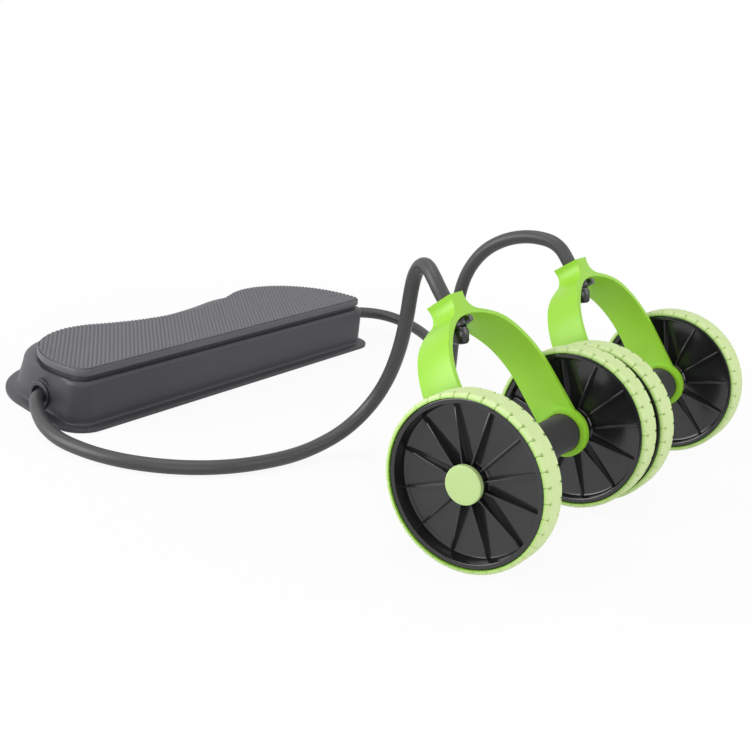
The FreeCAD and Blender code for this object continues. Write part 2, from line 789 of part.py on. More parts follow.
def tube_path(points):
    """Edges of the route, and the radius at each bend."""
    places = [Vector(*point) for point in points]
    edges = []
    radii = []
    last = places[0]
    for before, here, after in zip(places, places[1:], places[2:]):
        back = before.sub(here)
        ahead = after.sub(here)
        reach = bend_share * min(back.Length, ahead.Length)
        half_turn = (math.pi - back.getAngle(ahead)) / 2
        radius = reach / math.tan(half_turn)
        back.normalize()
        ahead.normalize()
        start = here.add(Vector(back).multiply(reach))
        end = here.add(Vector(ahead).multiply(reach))
        inward = back.add(ahead).normalize()
        middle = here.add(inward.multiply(radius / math.cos(half_turn) - radius))
        edges.append(Part.LineSegment(last, start).toShape())
        edges.append(Part.Arc(start, middle, end).toShape())
        radii.append(radius)
        last = end
    edges.append(Part.LineSegment(last, places[-1]).toShape())
    return edges, radii


def make_tube(name, points):
    edges, radii = tube_path(points)
    path = Part.Wire(edges)
    heading = Vector(*points[1]).sub(Vector(*points[0]))
    radius = amount("tube_radius")
    section = Part.Wire([Part.makeCircle(radius, Vector(*points[0]), heading)])
    tube = doc.addObject("Part::Feature", name)
    tube.Shape = path.makePipeShell([section], True, False)
    named(tube, name)
    share = tube.Shape.Volume / (math.pi * radius ** 2 * path.Length)
    print(f"{name}: length {path.Length:.1f}, volume over section times length {share:.4f}, radii",
          " ".join(f"{bend:.0f}" for bend in radii))


def neck_entry(spot, lean, reach):
    """A point on a yoke's tube bore, at this distance from the axle."""
    roller_x, axle_y = spot
    angle = math.radians(amount(lean))
    return (amount(roller_x), amount(axle_y) + amount(reach) * math.sin(angle),
            amount(axle_z) + amount(reach) * math.cos(angle))


def next_start(run, lead):
    """The lead's first point: on from the run's end, with a gap between their flat ends."""
    end = Vector(*run[-1])
    ahead = Vector(*lead[0]).sub(end).normalize()
    return tuple(end.add(ahead.multiply(amount("tube_gap"))))


# Build

make_base()
for word, (spot, lean) in rollers.items():
    outer_side = -1 if word == "left" else 1
    make_carriage(word, spot)
    make_yoke(word, spot, lean)
    make_wheel(word + "_outer", spot, outer_side)
    make_wheel(word + "_inner", spot, -outer_side)

for word, run, lead in (("left", left_run, left_lead), ("right", right_run, right_lead)):
    in_neck = [neck_entry(*rollers[word], f"{neck_top} + tube_lead_in"),
               neck_entry(*rollers[word], f"{collar_top} + tube_gap")]
    make_tube(word + "_tube_run", run)
    make_tube(word + "_tube_lead", [next_start(run, lead)] + lead + in_neck)

doc.recompute()

# Check and write every sub-part

nodes = ["base_shell", "base_cover", "cover_screws", "foot_platform", "foot_mat"]
for side, word in end_sides:
    nodes += ["tube_bush_" + word, "tube_plug_" + word]
for word in rollers:
    for piece in ("axle", "grip_core", "grip_sleeve", "washers", "lock_nuts", "yoke", "tube_stopper",
                  "stopper_clip", "tube_run", "tube_lead"):
        nodes.append(f"{word}_{piece}")
    for wheel in ("outer", "inner"):
        for piece in ("rim", "tyre", "hub_cap", "bush"):
            nodes.append(f"{word}_{wheel}_{piece}")

for item in doc.Objects:
    if "Invalid" in item.State or "Error" in item.State:
        raise RuntimeError(f"{item.Name} is {item.State}")
shapes = {}
for node in nodes:
    shape = doc.getObjectsByLabel(node)[0].Shape
    if shape.isNull() or not shape.isValid():
        raise RuntimeError("bad shape in " + node)
    shapes[node] = shape
for node, shape in shapes.items():
    shape.exportStep(os.path.join("parts", node + ".step"))
print(len(shapes), "sub-parts written")
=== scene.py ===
import bpy
import math
from mathutils import Matrix, Vector


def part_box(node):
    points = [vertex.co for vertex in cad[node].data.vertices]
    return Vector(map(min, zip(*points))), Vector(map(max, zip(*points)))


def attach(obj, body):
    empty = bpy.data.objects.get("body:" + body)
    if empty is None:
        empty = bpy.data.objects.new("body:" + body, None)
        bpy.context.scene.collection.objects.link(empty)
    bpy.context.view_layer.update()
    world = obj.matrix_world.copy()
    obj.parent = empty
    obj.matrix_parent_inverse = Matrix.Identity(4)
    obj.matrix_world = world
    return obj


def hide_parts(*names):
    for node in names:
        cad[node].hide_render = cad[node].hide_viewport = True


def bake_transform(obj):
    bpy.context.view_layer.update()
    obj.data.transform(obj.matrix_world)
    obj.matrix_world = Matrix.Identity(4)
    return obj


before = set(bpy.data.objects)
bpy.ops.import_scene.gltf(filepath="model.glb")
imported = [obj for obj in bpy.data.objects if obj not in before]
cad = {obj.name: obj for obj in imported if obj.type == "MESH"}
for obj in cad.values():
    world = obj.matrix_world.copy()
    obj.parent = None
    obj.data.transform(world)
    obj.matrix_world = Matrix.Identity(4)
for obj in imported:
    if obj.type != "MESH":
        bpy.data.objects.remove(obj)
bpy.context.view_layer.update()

bpy.ops.object.select_all(action="DESELECT")
sides = ("left", "right")
near = 0.1  # millimetres within which a point is picked
weld = 0.00001  # metres within which points are one
crease = 35  # degrees past which an edge stays sharp
startSize = 0.002  # metres, of a primitive whose points are then all put in place


def mm(*values):
    return Vector([value / 1000 for value in values])


def middle(node):  # of a CAD node's box
    low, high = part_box(node)
    return (low + high) / 2


# camera at the photograph's angle: metres, degrees, millimetres of lens
cameraSet = {
    "place": (-0.92477, -0.81552, 0.39063), "turn": (72.4707, -5.7233, -55.9459), "lens": 60.65, "sensor": 36,
}


def makeCamera():
    data = bpy.data.cameras.new("camera")
    data.lens = cameraSet["lens"]
    data.sensor_width = cameraSet["sensor"]
    camera = bpy.data.objects.new("camera", data)
    camera.location = cameraSet["place"]
    camera.rotation_euler = [math.radians(angle) for angle in cameraSet["turn"]]
    bpy.context.scene.collection.objects.link(camera)
    bpy.context.scene.camera = camera
    print("camera set")


# node work shared by the finishes
def linear(hexText):  # sRGB hex to linear colour
    channels = [int(hexText[i:i + 2], 16) / 255 for i in (1, 3, 5)]
    return [c / 12.92 if c <= 0.04045 else ((c + 0.055) / 1.055) ** 2.4 for c in channels] + [1.0]


def addNode(tree, kind, settings=None, links=None):
    made = tree.nodes.new(kind)
    for name, value in (settings or {}).items():
        if isinstance(name, int) or name in made.inputs:
            made.inputs[name].default_value = value
        else:
            setattr(made, name, value)
    for name, source in (links or {}).items():
        tree.links.new(source, made.inputs[name])
    return made


def startMaterial(name):
    material = bpy.data.materials.new(name)
    material.use_nodes = True
    material.node_tree.nodes.clear()
    return material, material.node_tree


def wear(piece, material):
    piece.data.materials.clear()
    piece.data.materials.append(material)


# moulded finishes, sizes in millimetres
# real moulding grain is 0.02 to 0.1 mm and too fine to show, so it is drawn coarser
# a colour mix takes its factor at socket 0 and its colours at 6 and 7, and gives the result at 2
mouldSet = {"cloudDetail": 3, "grainDetail": 2, "coatGloss": 0.12, "sheenGloss": 0.5}
finishSet = {
    # satin ABS, self-coloured: clean even green, a broad pale sheen where the light comes from behind
    "yoke": ("lime ABS, satin mould", {
        "colour": "#99d336", "shade": "#90cd2b", "cloud": 40, "grain": 0.6, "bump": 0.06, "depth": 0.05,
        "gloss": (0.36, 0.44), "ior": 1.52}),
    # satin polypropylene: milky, a little chalky, hardly any highlight
    "cap": ("pale green polypropylene", {
        "colour": "#bbd48f", "shade": "#b2cc84", "cloud": 25, "grain": 0.4, "bump": 0.08, "depth": 0.04,
        "gloss": (0.4, 0.5), "ior": 1.49}),
    # gloss black polypropylene: the web mirrors the fins, and their crests catch bright lines
    "rim": ("black polypropylene, gloss mould", {
        "colour": "#232325", "shade": "#18181a", "cloud": 22, "grain": 0.5, "bump": 0.05, "depth": 0.04,
        "gloss": (0.1, 0.19), "ior": 1.58}),
    # soft TPR: pale and milky on the blocks, with painted shade in a darker clear green deep in the notches
    # and down the sides
    "tyre": ("pale lime TPR tread", {
        "colour": "#d4e6ab", "shade": "#c4da93", "paintedShade": "#8abf3c", "cloud": 14, "cloudDetail": 4,
        "grain": 0.7, "bump": 0.2, "depth": 0.1, "gloss": (0.5, 0.66), "ior": 1.46}),
    # closed-cell foam: no highlight, a soft near-black
    "foam": ("black NBR foam", {
        "colour": "#121213", "shade": "#0c0c0d", "cloud": 8, "grain": 0.9, "bump": 0.5, "depth": 0.25,
        "gloss": (0.85, 0.95), "ior": 1.45, "sheen": 0.12}),
    # moulded nylon: nearly black, small sharp highlights on its round edges
    "stopper": ("black nylon", {
        "colour": "#1a1a1c", "shade": "#121214", "cloud": 15, "grain": 0.4, "bump": 0.1, "depth": 0.05,
        "gloss": (0.2, 0.3), "ior": 1.53, "coat": 0.2}),
    # spark-eroded ABS: an even fine grain over the shell
    "base": ("charcoal ABS, spark-eroded mould", {
        "colour": "#38373c", "shade": "#2f2e33", "cloud": 45, "grain": 0.7, "bump": 0.2, "depth": 0.1,
        "gloss": (0.42, 0.52), "ior": 1.5}),
    # the same ABS from a finer mould: a lighter grey edge under the mat
    "platform": ("charcoal ABS, satin mould", {
        "colour": "#56555a", "shade": "#4c4b50", "cloud": 45, "grain": 0.5, "bump": 0.12, "depth": 0.06,
        "gloss": (0.38, 0.48), "ior": 1.52}),
    # soft TPR: dull mid grey, the ribs' sides darker than their crests
    "mat": ("grey TPR mat", {
        "colour": "#6b6a6f", "shade": "#5e5d62", "cloud": 14, "grain": 0.6, "bump": 0.3, "depth": 0.12,
        "gloss": (0.62, 0.76), "ior": 1.48}),
    # nylon bushes: a shade lighter than the hole they line
    "bush": ("dark nylon", {
        "colour": "#3a393d", "shade": "#2f2e32", "cloud": 20, "grain": 0.4, "bump": 0.1, "depth": 0.05,
        "gloss": (0.34, 0.44), "ior": 1.53}),
    # latex tube: smooth and dark, a long soft highlight
    "tube": ("black latex tube", {
        "colour": "#3b3b3d", "shade": "#303032", "cloud": 10, "grain": 0.8, "bump": 0.12, "depth": 0.06,
        "gloss": (0.36, 0.5), "ior": 1.52}),
    # waxy polyethylene for what lies inside: flat dark grey
    "core": ("black polyethylene", {
        "colour": "#303033", "shade": "#27272a", "cloud": 20, "grain": 0.5, "bump": 0.1, "depth": 0.05,
        "gloss": (0.45, 0.55), "ior": 1.5}),
}


def mouldedMaterial(name, settings):  # cloudy tint, fine moulding grain, uneven gloss
    material, tree = startMaterial(name)
    place = addNode(tree, "ShaderNodeTexCoord")
    cloud = addNode(tree, "ShaderNodeTexNoise",
                    {"Scale": 1000 / settings["cloud"],
                     "Detail": settings.get("cloudDetail", mouldSet["cloudDetail"])},
                    {"Vector": place.outputs["Object"]})
    tint = addNode(tree, "ShaderNodeMix",
                   {"data_type": "RGBA", 6: linear(settings["shade"]), 7: linear(settings["colour"])},
                   {0: cloud.outputs["Fac"]})
    if "paintedShade" in settings:  # and towards a darker painted-shade colour where the piece's own depth says so
        depth = addNode(tree, "ShaderNodeAttribute", {"attribute_name": "depth"})
        tint = addNode(tree, "ShaderNodeMix", {"data_type": "RGBA", 7: linear(settings["paintedShade"])},
                       {0: depth.outputs["Fac"], 6: tint.outputs[2]})
    grain = addNode(tree, "ShaderNodeTexNoise",
                    {"Scale": 1000 / settings["grain"], "Detail": mouldSet["grainDetail"]},
                    {"Vector": place.outputs["Object"]})
    gloss = addNode(tree, "ShaderNodeMapRange",
                    {"To Min": settings["gloss"][0], "To Max": settings["gloss"][1]},
                    {"Value": cloud.outputs["Fac"]})
    bump = addNode(tree, "ShaderNodeBump",
                   {"Strength": settings["bump"], "Distance": settings["depth"] / 1000},
                   {"Height": grain.outputs["Fac"]})
    shader = addNode(tree, "ShaderNodeBsdfPrincipled",
                     {"IOR": settings["ior"],
                      "Coat Weight": settings.get("coat", 0), "Coat Roughness": mouldSet["coatGloss"],
                      "Sheen Weight": settings.get("sheen", 0), "Sheen Roughness": mouldSet["sheenGloss"]},
                     {"Base Color": tint.outputs[2], "Roughness": gloss.outputs[0],
                      "Normal": bump.outputs[0]})
    addNode(tree, "ShaderNodeOutputMaterial", links={"Surface": shader.outputs[0]})
    return material


# zinc plating: bright grey with duller patches; blackened steel: dark, with small glints
steelSet = {
    "cloud": 3, "cloudDetail": 4, "gloss": (0.24, 0.42),
    "steel": ("zinc-plated steel", "#a9abad", "#c4c6c8"),
    "pin": ("blackened steel", "#4e5054", "#6a6c70"),
}


def steelMaterial(name, shade, colour):  # metal grey, a little cloudy, uneven gloss
    material, tree = startMaterial(name)
    place = addNode(tree, "ShaderNodeTexCoord")
    cloud = addNode(tree, "ShaderNodeTexNoise",
                    {"Scale": 1000 / steelSet["cloud"], "Detail": steelSet["cloudDetail"]},
                    {"Vector": place.outputs["Object"]})
    tint = addNode(tree, "ShaderNodeMix", {"data_type": "RGBA", 6: linear(shade), 7: linear(colour)},
                   {0: cloud.outputs["Fac"]})
    gloss = addNode(tree, "ShaderNodeMapRange",
                    {"To Min": steelSet["gloss"][0], "To Max": steelSet["gloss"][1]},
                    {"Value": cloud.outputs["Fac"]})
    shader = addNode(tree, "ShaderNodeBsdfPrincipled", {"Metallic": 1.0},
                     {"Base Color": tint.outputs[2], "Roughness": gloss.outputs[0]})
    addNode(tree, "ShaderNodeOutputMaterial", links={"Surface": shader.outputs[0]})
    return material


# what the CAD nodes that stay wear, by the ends of their names; the rest are core
hiddenSet = {
    "axle": "steel", "washers": "steel", "lock_nuts": "steel", "screws": "steel", "clip": "pin",
    "bush": "bush", "base_cover": "base",
}


def makeFinishes():
    made = {kind: mouldedMaterial(name, settings) for kind, (name, settings) in finishSet.items()}
    for kind in ("steel", "pin"):
        made[kind] = steelMaterial(*steelSet[kind])
    for name, node in cad.items():
        kinds = [kind for ending, kind in hiddenSet.items() if name.endswith(ending)]
        wear(node, made[kinds[0] if kinds else "core"])
    print("finishes done")
    return made


makeCamera()
finish = makeFinishes()


# hand work shared by the pieces
def only(piece):
    bpy.ops.object.select_all(action="DESELECT")
    piece.select_set(True)
    bpy.context.view_layer.objects.active = piece


def edit(piece):
    only(piece)
    bpy.ops.object.mode_set(mode="EDIT")


def leave():
    bpy.ops.object.mode_set(mode="OBJECT")


def choose(piece, test):  # selects vertices, from edit mode and back in it
    bpy.ops.mesh.select_mode(type="VERT")
    bpy.ops.mesh.select_all(action="DESELECT")
    leave()
    for vertex in piece.data.vertices:
        vertex.select = test(vertex)
    bpy.ops.object.mode_set(mode="EDIT")


def pick(piece, test):  # selects vertices by their place in millimetres
    choose(piece, lambda vertex: test(vertex.co * 1000))


def move(*step):
    bpy.ops.transform.translate(value=mm(*step))


def extrude(*step):
    bpy.ops.mesh.extrude_region_move(TRANSFORM_OT_translate={"value": mm(*step)})


def fresh(name, add, **settings):  # a new primitive, alone in the selection
    bpy.ops.object.select_all(action="DESELECT")
    add(**settings)
    piece = bpy.context.active_object
    piece.name = name
    return piece


def intoMesh(piece):  # place, turn and scale
    only(piece)
    bpy.ops.object.transform_apply(location=True, rotation=True, scale=True)


def applied(piece, kind, **settings):
    only(piece)
    modifier = piece.modifiers.new(kind.lower(), kind)
    for name, value in settings.items():
        setattr(modifier, name, value)
    bpy.ops.object.modifier_apply(modifier=modifier.name)


def repeated(piece, count, step):  # copies beside each other along Y, welded
    applied(piece, "ARRAY", count=count, use_relative_offset=False, use_constant_offset=True,
            constant_offset_displace=mm(0, step, 0), use_merge_vertices=True, merge_threshold=weld)


def smooth(piece, angle=crease):
    only(piece)
    bpy.ops.object.shade_smooth_by_angle(angle=math.radians(angle))


def closeUp(piece, angle=crease):  # seams merged, faces outwards, smooth but for sharp edges
    edit(piece)
    bpy.ops.mesh.select_all(action="SELECT")
    bpy.ops.mesh.remove_doubles(threshold=weld)
    bpy.ops.mesh.normals_make_consistent(inside=False)
    leave()
    smooth(piece, angle)


def turned(name, section, steps):  # a half section of (x, radius) in millimetres, spun about X
    piece = fresh(name, bpy.ops.mesh.primitive_plane_add, size=startSize)
    edit(piece)
    bpy.ops.mesh.select_all(action="SELECT")
    bpy.ops.mesh.merge(type="CENTER")  # one point, drawn out along the section
    move(section[0][0], 0, section[0][1])
    for here, there in zip(section, section[1:]):
        extrude(there[0] - here[0], 0, there[1] - here[1])
    bpy.ops.mesh.select_all(action="SELECT")
    bpy.ops.mesh.spin(steps=steps, angle=2 * math.pi, center=(0, 0, 0), axis=(1, 0, 0))
    leave()
    closeUp(piece)
    return piece


def copyAt(source, name, matrix):
    piece = bpy.data.objects.new(name, source.data.copy())
    bpy.context.scene.collection.objects.link(piece)
    piece.matrix_world = matrix
    intoMesh(piece)
    return piece


def joined(first, others):
    only(first)
    for other in others:
        other.select_set(True)
    bpy.ops.object.join()
    return first


def discard(*pieces):
    for piece in pieces:
        bpy.data.meshes.remove(piece.data)


# the angle from which an edge is eased, and the angle up to which faces are one
easeSet = {"segments": 3, "from": 28, "flat": 0.5}


def softened(node, name, width):  # merged copy of a solid with its edges eased
    piece = bpy.data.objects.new(name, cad[node].data.copy())
    bpy.context.scene.collection.objects.link(piece)
    edit(piece)
    bpy.ops.mesh.select_all(action="SELECT")
    bpy.ops.mesh.remove_doubles(threshold=weld)
    bpy.ops.mesh.dissolve_limited(angle_limit=math.radians(easeSet["flat"]))
    leave()
    applied(piece, "BEVEL", width=width / 1000, segments=easeSet["segments"], limit_method="ANGLE",
            angle_limit=math.radians(easeSet["from"]), use_clamp_overlap=True)
    closeUp(piece)
    return piece


def settle(piece, body, node, material):
    wear(piece, material)
    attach(piece, body)
    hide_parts(node)


# elastic tubes, the routes in millimetres as in the part's source
tubeSet = {
    "radius": 6.0, "order": 3, "stepsAlong": 8, "stepsRound": 6, "crease": 40,
    "routes": {
        "left_tube_run": [
            (-190, -20, 17.5), (-204.5, -20, 17.5), (-216.3, -28.3, 16), (-228.5, -45.5, 12),
            (-240, -67.5, 8.6), (-246.5, -91, 6.8), (-247.5, -116, 6.3), (-244.5, -142, 6.2),
            (-235, -169, 6.2), (-217.5, -195.5, 6.2), (-193.5, -217, 6.2), (-162.5, -232.5, 6.3),
            (-142.75, -237.5, 6.45)],
        "left_tube_lead": [
            (-142.75, -237.5, 6.45), (-123, -242.5, 6.6), (-89, -250.5, 14), (-72, -260, 27),
            (-61, -271, 47), (-60.5, -283, 71.5), (-68, -295, 100), (-77, -304, 129),
            (-86, -310.5, 156), (-89.8, -314.5, 171), (-93.7, -320.8, 180.3), (-100, -330.5, 184),
            (-107.5, -341.5, 178.3), (-110.6, -353.09, 166.13), (-110.6, -368.16, 148.79)],
        "right_tube_run": [
            (190, -20, 17.5), (214, -20, 17.5), (240, -25, 19.5), (262, -41, 21),
            (273, -66, 21), (271, -98, 18.5), (258, -132, 14), (232, -163, 10),
            (199, -190, 7.2), (182, -201.5, 7.1)],
        "right_tube_lead": [
            (182, -201.5, 7.1), (165, -213, 7), (137, -230, 9.6), (110, -246, 22),
            (94, -255, 43), (85, -259.5, 72), (81.5, -261, 105), (80, -266, 137),
            (79.5, -280.5, 162), (80, -300, 177), (80.8, -322, 185), (81.4, -343.5, 186),
            (81.7, -356, 181.5), (81.8, -364.86, 172.02), (81.8, -378.69, 153.66)],
    },
    "bodies": {
        "left_tube_run": ("base", "left_roller"),
        "left_tube_lead": ("left_roller", "left_yoke_arm"),
        "right_tube_run": ("base", "right_roller"),
        "right_tube_lead": ("right_roller", "right_yoke_arm"),
    },
    # where a lead starts to follow its yoke
    "bendFrom": {"left_tube_lead": (-86.1, -307.6, 0.8), "right_tube_lead": (159.3, -294.8, 34.6)},
}


def tubeAlong(name, route):
    curve = bpy.data.curves.new(name, "CURVE")
    curve.dimensions = "3D"
    curve.resolution_u = tubeSet["stepsAlong"]
    curve.use_fill_caps = True
    spline = curve.splines.new("NURBS")
    spline.points.add(len(route) - 1)
    for point, place in zip(spline.points, route):
        point.co = (*mm(*place), 1)
    spline.order_u = tubeSet["order"]
    spline.use_endpoint_u = True
    tube = bpy.data.objects.new(name, curve)
    bpy.context.scene.collection.objects.link(tube)
    bare = bpy.data.meshes.new_from_object(tube)  # the centre line, before it gets its thickness
    path = [vertex.co.copy() for vertex in bare.vertices]
    bpy.data.meshes.remove(bare)
    curve.bevel_depth = tubeSet["radius"] / 1000
    curve.bevel_resolution = tubeSet["stepsRound"]
    only(tube)
    bpy.ops.object.convert(target="MESH")
    tube = bpy.context.view_layer.objects.active
    smooth(tube, tubeSet["crease"])
    return tube, path


def makeTubes():
    for name, route in tubeSet["routes"].items():
        tube, path = tubeAlong(name + "_rubber", route)
        wear(tube, finish["tube"])
        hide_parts(name)
        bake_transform(tube)


# wheels: which way the capped face looks, and how far rim and tyre are turned
wheelSet = {
    "left_outer": {"side": -1, "rimTurn": 21.5, "tyreTurn": 0},
    "left_inner": {"side": 1, "rimTurn": 12, "tyreTurn": 4},
    "right_inner": {"side": -1, "rimTurn": 5, "tyreTurn": 7},
    "right_outer": {"side": 1, "rimTurn": 17, "tyreTurn": 2},
}
# rim: half section from the inner face round the outside to the outer face, and a ring of fins on each face
rimSet = {
    "half": [(-13.3, 8), (-13.3, 13.8), (-12.6, 14.6), (-5.9, 15.3), (-4.6, 15.9), (-3.7, 17.5), (-3.6, 54),
             (-4.3, 56), (-5.8, 57), (-8.6, 57), (-9.6, 57.4), (-10, 58.4), (-10, 60.3), (-9.6, 61.1),
             (-9, 61.4), (9, 61.4), (9.6, 61.1), (10, 60.3), (10, 58.4), (9.6, 57.4), (8.6, 57), (0.4, 57),
             (-1.2, 56), (-1.9, 54), (-1.9, 14.8), (-1, 13.2), (0.4, 12.6), (7, 12.6), (7.5, 12.1), (7.5, 11),
             (-1.5, 11), (-1.5, 8), (-13.3, 8)],
    "steps": 120, "fins": 12, "finThick": 2.0, "finInner": 12.2, "finOuter": 57.2, "web": -2.7,
    "outerCrest": 7.4, "innerCrest": -11.8, "outerEnd": 0.6, "innerEnd": -6, "crestShare": 0.62,
    "finEdge": 0.28, "finEdgeFrom": 30,
}
# tyre: one block drawn flat, repeated in a row and bent round
tyreSet = {
    "blocks": 36, "width": 22, "neutral": 63.4, "crown": 1.6, "inside": 61.4, "crease": 50,
    "facesAcross": 22, "facesAlong": 10, "endShare": 0.98,
    "rows": ((0.8, 0), (0.6, 0.5)),  # share of the half block, and its new place inside the notch's edge
    "shoulders": ((8.9, 0.18), (9.9, 0.55), (10.9, 1.5)),  # from which x, and how much lower
    "groove": 0.12, "notch": 2.6, "notchAt": 7.5, "notchWide": 0.7, "notchHalf": 0.75,
    "scallop": 1.2, "scallopFrom": 8.6, "cornerFrom": 10.4, "cornerIn": 0.8, "cornerUp": 0.2,
    # deepFrom and deepSpan: how far below the crown the painted shade starts, and over what depth it reaches
    # full
    "sideFrom": 10.1, "sideDrop": 0.4, "seam": 0.03, "deepFrom": 1.9, "deepSpan": 1.4,
}
capSet = {
    "half": [(7.5, 0), (7.5, 14), (7.8, 14.35), (10.9, 14.4), (11.45, 14.2), (11.75, 13.6), (11.8, 12.6),
             (11.8, 0)],
    "steps": 72,
}


def makeFin(crest, end):
    size = rimSet
    halfway = (size["finInner"] + size["finOuter"]) / 2
    fin = fresh("fin", bpy.ops.mesh.primitive_cube_add, size=1)
    fin.scale = mm(abs(crest - size["web"]), size["finOuter"] - size["finInner"], size["finThick"])
    fin.location = mm((crest + size["web"]) / 2, halfway, 0)
    intoMesh(fin)
    edit(fin)
    pick(fin, lambda p: abs(p.x - crest) < near)  # the crest is thinner
    bpy.ops.transform.resize(value=(1, 1, size["crestShare"]), center_override=mm(crest, halfway, 0))
    pick(fin, lambda p: abs(p.x - crest) < near and p.y > halfway)  # and runs down to the rim
    move(end - crest, 0, 0)
    leave()
    applied(fin, "BEVEL", width=size["finEdge"] / 1000, segments=2, limit_method="ANGLE",
            angle_limit=math.radians(size["finEdgeFrom"]))
    return fin


def makeRim():
    rim = turned("rim", rimSet["half"], rimSet["steps"])
    fins = []
    for face in ("outer", "inner"):
        fin = makeFin(rimSet[face + "Crest"], rimSet[face + "End"])
        for number in range(rimSet["fins"]):
            turn = Matrix.Rotation(number * 2 * math.pi / rimSet["fins"], 4, "X")
            fins.append(copyAt(fin, "fin_copy", turn))
        discard(fin)
    rim = joined(rim, fins)
    smooth(rim)
    return rim


def shapeBlock(tyre, edge):  # edge is half a block's length
    size = tyreSet
    ends = size["endShare"] * edge
    edit(tyre)
    for sign in (-1, 1):  # rows beside the block's ends drawn close to them
        for share, inside in size["rows"]:
            pick(tyre, lambda p: abs(p.y - sign * share * edge) < near)
            move(0, sign * (edge - size["notchHalf"] - inside - share * edge), 0)
    for reach, drop in size["shoulders"]:
        pick(tyre, lambda p: abs(p.x) > reach)
        move(0, 0, -drop)
    pick(tyre, lambda p: abs(p.y) > ends)  # shallow groove across, between blocks
    move(0, 0, -size["groove"])
    # deep notch at each side
    pick(tyre, lambda p: (abs(p.y) > edge - size["notchHalf"] - near
                          and abs(abs(p.x) - size["notchAt"]) < size["notchWide"]))
    move(0, 0, -size["notch"])
    pick(tyre, lambda p: abs(p.y) > ends and abs(p.x) > size["scallopFrom"])  # scalloped shoulders
    move(0, 0, -size["scallop"])
    for sign in (-1, 1):
        pick(tyre, lambda p: abs(p.y) > ends and sign * p.x > size["cornerFrom"])
        move(-sign * size["cornerIn"], 0, size["cornerUp"])
    # sides down to the rim
    bpy.ops.mesh.select_mode(type="EDGE")
    leave()
    for line in tyre.data.edges:
        first, last = [tyre.data.vertices[i].co * 1000 for i in line.vertices]
        line.select = min(abs(first.x), abs(last.x)) > size["sideFrom"] and abs(first.y - last.y) > near
    bpy.ops.object.mode_set(mode="EDIT")
    extrude(0, 0, -size["sideDrop"])
    bpy.ops.transform.resize(value=(1, 1, 0), center_override=mm(0, 0, size["inside"] - size["neutral"]))
    leave()


def makeTyre():
    size = tyreSet
    pitch = 2 * math.pi * size["neutral"] / size["blocks"]
    tyre = fresh("tyre", bpy.ops.mesh.primitive_grid_add,
                 x_subdivisions=size["facesAcross"], y_subdivisions=size["facesAlong"], size=1)
    tyre.scale = mm(size["width"], pitch, 1)
    tyre.location = mm(0, 0, size["crown"])
    intoMesh(tyre)
    shapeBlock(tyre, pitch / 2)
    repeated(tyre, size["blocks"], pitch)
    tyre.rotation_euler = (math.radians(90), 0, 0)
    intoMesh(tyre)
    applied(tyre, "SIMPLE_DEFORM", deform_method="BEND", deform_axis="X", angle=2 * math.pi)
    tyre.location = mm(0, -size["neutral"], 0)
    intoMesh(tyre)
    edit(tyre)
    bpy.ops.mesh.select_all(action="SELECT")
    bpy.ops.mesh.remove_doubles(threshold=size["seam"] / 1000)
    pick(tyre, lambda p: math.hypot(p.y, p.z) < size["inside"] + near)
    bpy.ops.mesh.bridge_edge_loops()
    leave()
    closeUp(tyre, size["crease"])
    # 0 on the tread, 1 deep in a notch or down the side: how much painted shade the tread colour gets there
    depth = tyre.data.attributes.new("depth", "FLOAT", "POINT")
    for vertex in tyre.data.vertices:
        radius = math.hypot(vertex.co.y, vertex.co.z) * 1000
        low = size["neutral"] + size["crown"] - size["deepFrom"] - radius
        depth.data[vertex.index].value = min(max(low / size["deepSpan"], 0), 1)
    return tyre


def makeWheels():
    cap = turned("cap", capSet["half"], capSet["steps"])
    sources = {"rim": makeRim(), "tyre": makeTyre(), "hub_cap": cap}
    for wheel, values in wheelSet.items():
        stand = Matrix.Translation(middle(wheel + "_tyre"))
        if values["side"] < 0:
            stand = stand @ Matrix.Rotation(math.pi, 4, "Z")
        for part, turn, slotName, kind in (
                ("rim", values["rimTurn"], "wheel_black", "rim"),
                ("tyre", values["tyreTurn"], "tyre_lime", "tyre"),
                ("hub_cap", 0, "cap_green", "cap")):
            matrix = stand @ Matrix.Rotation(math.radians(turn), 4, "X")
            piece = copyAt(sources[part], f"{wheel}_{part}_skin", matrix)
            settle(piece, wheel + "_wheel", f"{wheel}_{part}", finish[kind])
    discard(*sources.values())
    print("wheels done")


# foam grips on the bars
gripSet = {
    "half": [(-61.6, 11.05), (-61.6, 13.2), (-61.2, 14.2), (-60.3, 14.85), (-58.8, 15), (58.8, 15),
             (60.3, 14.85), (61.2, 14.2), (61.6, 13.2), (61.6, 11.05), (-61.6, 11.05)],
    "steps": 64, "fill": 1.0,
}


def makeGrips():
    grip = turned("grip", gripSet["half"], gripSet["steps"])
    for side in sides:
        place = Matrix.Translation(middle(side + "_grip_sleeve"))
        piece = copyAt(grip, side + "_grip_foam", place)
        settle(piece, side + "_roller", side + "_grip_sleeve", finish["foam"])
    discard(grip)
    print("grips done")


# green yokes, and the black stoppers under their necks
yokeSet = {"edge": 1.6}
# a collar under the neck, square to it, and a plug that hangs from the collar
# both start along the yoke's lean, measured from the bar
stopperSet = {
    "collar": [(0, 0), (0, 8.6), (0.5, 9.2), (1.2, 9.5), (4.4, 9.5), (5.4, 9.1), (6, 8.2), (6, 0)],
    "plug": [(-1.5, 0), (-1.5, 5.4), (0, 5.6), (1.2, 6.6), (3, 6.9), (9.6, 6.6), (10.8, 6.1), (11.6, 5.2),
             (11.8, 4), (11.8, 0)],
    "steps": 40, "collarStart": 111.4, "plugStart": 105.4, "hang": (0, -0.2, -0.98),
    "lean": {"left": 41, "right": 37},
}


